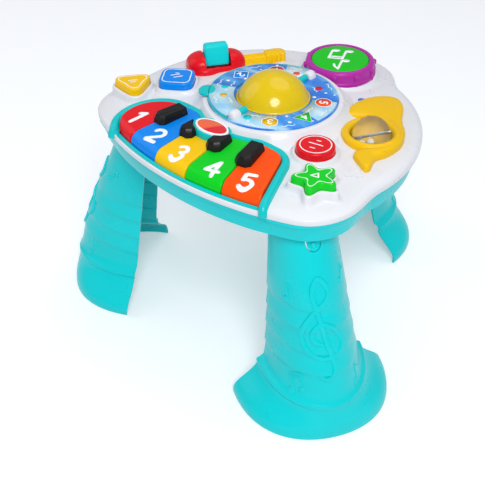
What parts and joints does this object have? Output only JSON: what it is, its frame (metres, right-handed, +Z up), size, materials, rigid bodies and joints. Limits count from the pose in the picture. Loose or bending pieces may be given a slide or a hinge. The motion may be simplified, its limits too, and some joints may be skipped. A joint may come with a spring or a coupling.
{
  "type": "musical activity table",
  "caption": "Lobed toddler activity table on three half-round plug-in legs, with piano keys, turning page, drum, guitar, horn and shaped push buttons.",
  "frame": {"origin": "on the floor, at the bottom centre of the overall box", "axes": "+Z up; the piano keys face -Y, so +Y runs from the keys towards the drum; +X is to the right of a child at the keys"},
  "size_m": [0.4646, 0.427, 0.3145],
  "materials": {
    "beads": "white beads",
    "black": "glossy",
    "black_inner": "moulded inner part",
    "blue": "glossy",
    "board": "circuit board",
    "cell": "cell jacket",
    "clear": "clear polycarbonate",
    "dome_yellow": "translucent moulding, smooth",
    "green": "glossy",
    "orange": "glossy",
    "printed": "printed face under a clear film",
    "purple": "glossy",
    "red": "glossy",
    "silicone": "silicone",
    "steel": "drawn wire and screws",
    "teal": "glossy teal moulding",
    "white": "satin white moulding",
    "yellow": "glossy"
  },
  "bodies": {
    "root": {"top_shell": "white", "base_shell": "teal", "leg_front_right": "teal", "leg_front_left": "teal", "leg_back": "teal", "keyboard_frame": "teal", "key_rod": "steel", "black_key_1": "black", "black_key_2": "black", "black_key_3": "black", "black_key_4": "black", "page_base": "printed", "page_pins": "steel", "light_dome": "dome_yellow", "drum_ring": "purple", "guitar_body": "red", "guitar_neck": "yellow", "strum_rod": "steel", "horn": "yellow", "rattle_rod": "steel", "key_board": "board", "key_domes": "silicone", "main_board": "board", "main_board_parts": "black_inner", "led_board": "board", "leds": "clear", "switches": "black_inner", "speaker": "black_inner", "battery_box": "black_inner", "battery_door": "teal", "batteries": "cell", "battery_contacts": "steel", "shell_screws": "steel"},
    "page": {"page_flap": "printed"},
    "drum_pad": {"drum_head": "green"},
    "paddle": {"strum_paddle": "teal"},
    "ball": {"rattle_ball": "clear", "rattle_beads": "beads"},
    "mode": {"mode_button": "red"},
    "slider": {"power_slider": "black_inner"},
    "key_1": {"key_1": "red"},
    "key_2": {"key_2": "blue"},
    "key_3": {"key_3": "yellow"},
    "key_4": {"key_4": "green"},
    "key_5": {"key_5": "orange"},
    "button_circle": {"button_circle": "red"},
    "button_star": {"button_star": "green"},
    "button_square": {"button_square": "blue"},
    "button_triangle": {"button_triangle": "yellow"},
    "tab_front_right": {"release_tab_front_right": "teal"},
    "tab_front_left": {"release_tab_front_left": "teal"},
    "tab_back": {"release_tab_back": "teal"}
  },
  "joints": [
    {"name": "key_1_press", "type": "hinge", "parent": "root", "child": "key_1", "pos_m": [-0.08571, -0.1035, 0.262], "axis": [1, 0, 0], "range_deg": [0, 2], "stiffness_Nm_per_rad": 6},
    {"name": "key_2_press", "type": "hinge", "parent": "root", "child": "key_2", "pos_m": [-0.04745, -0.1035, 0.262], "axis": [1, 0, 0], "range_deg": [0, 2], "stiffness_Nm_per_rad": 6},
    {"name": "key_3_press", "type": "hinge", "parent": "root", "child": "key_3", "pos_m": [-0.00981, -0.1035, 0.262], "axis": [1, 0, 0], "range_deg": [0, 2], "stiffness_Nm_per_rad": 6},
    {"name": "key_4_press", "type": "hinge", "parent": "root", "child": "key_4", "pos_m": [0.02853, -0.1035, 0.262], "axis": [1, 0, 0], "range_deg": [0, 2], "stiffness_Nm_per_rad": 6},
    {"name": "key_5_press", "type": "hinge", "parent": "root", "child": "key_5", "pos_m": [0.06899, -0.1035, 0.262], "axis": [1, 0, 0], "range_deg": [0, 2], "stiffness_Nm_per_rad": 6},
    {"name": "page_turn", "type": "hinge", "parent": "root", "child": "page", "pos_m": [0, -0.0349, 0.2876], "axis": [0, 1, 0], "range_deg": [0, 180]},
    {"name": "drum_press", "type": "slide", "parent": "root", "child": "drum_pad", "axis": [0, 0, -1], "range_m": [0, 0.002], "stiffness_N_per_m": 1500},
    {"name": "paddle_strum", "type": "hinge", "parent": "root", "child": "paddle", "pos_m": [-0.1195, -0.0065, 0.274], "axis": [0.5299, 0.848, 0], "range_deg": [-20, 20], "stiffness_Nm_per_rad": 0.3},
    {"name": "ball_spin", "type": "hinge", "parent": "root", "child": "ball", "pos_m": [0.118, -0.0075, 0.272], "axis": [0.4695, 0.8829, 0], "continuous": true},
    {"name": "circle_press", "type": "slide", "parent": "root", "child": "button_circle", "axis": [0, 0, -1], "range_m": [0, 0.003], "stiffness_N_per_m": 800},
    {"name": "star_press", "type": "slide", "parent": "root", "child": "button_star", "axis": [0, 0, -1], "range_m": [0, 0.003], "stiffness_N_per_m": 800},
    {"name": "square_press", "type": "slide", "parent": "root", "child": "button_square", "axis": [0, 0, -1], "range_m": [0, 0.003], "stiffness_N_per_m": 800},
    {"name": "triangle_press", "type": "slide", "parent": "root", "child": "button_triangle", "axis": [0, 0, -1], "range_m": [0, 0.003], "stiffness_N_per_m": 800},
    {"name": "mode_press", "type": "slide", "parent": "root", "child": "mode", "axis": [0, 0, -1], "range_m": [0, 0.0015], "stiffness_N_per_m": 800},
    {"name": "power_slide", "type": "slide", "parent": "root", "child": "slider", "axis": [1, 0, 0], "range_m": [0, 0.006]},
    {"name": "tab_front_right_press", "type": "hinge", "parent": "root", "child": "tab_front_right", "pos_m": [0.15112, -0.12775, 0.241], "axis": [0.5, 0.866, 0], "range_deg": [0, 6], "stiffness_Nm_per_rad": 2},
    {"name": "tab_front_left_press", "type": "hinge", "parent": "root", "child": "tab_front_left", "pos_m": [-0.15112, -0.12775, 0.241], "axis": [0.5, -0.866, 0], "range_deg": [0, 6], "stiffness_Nm_per_rad": 2},
    {"name": "tab_back_press", "type": "hinge", "parent": "root", "child": "tab_back", "pos_m": [0, 0.134, 0.241], "axis": [-1, 0, 0], "range_deg": [0, 6], "stiffness_Nm_per_rad": 2}
  ]
}
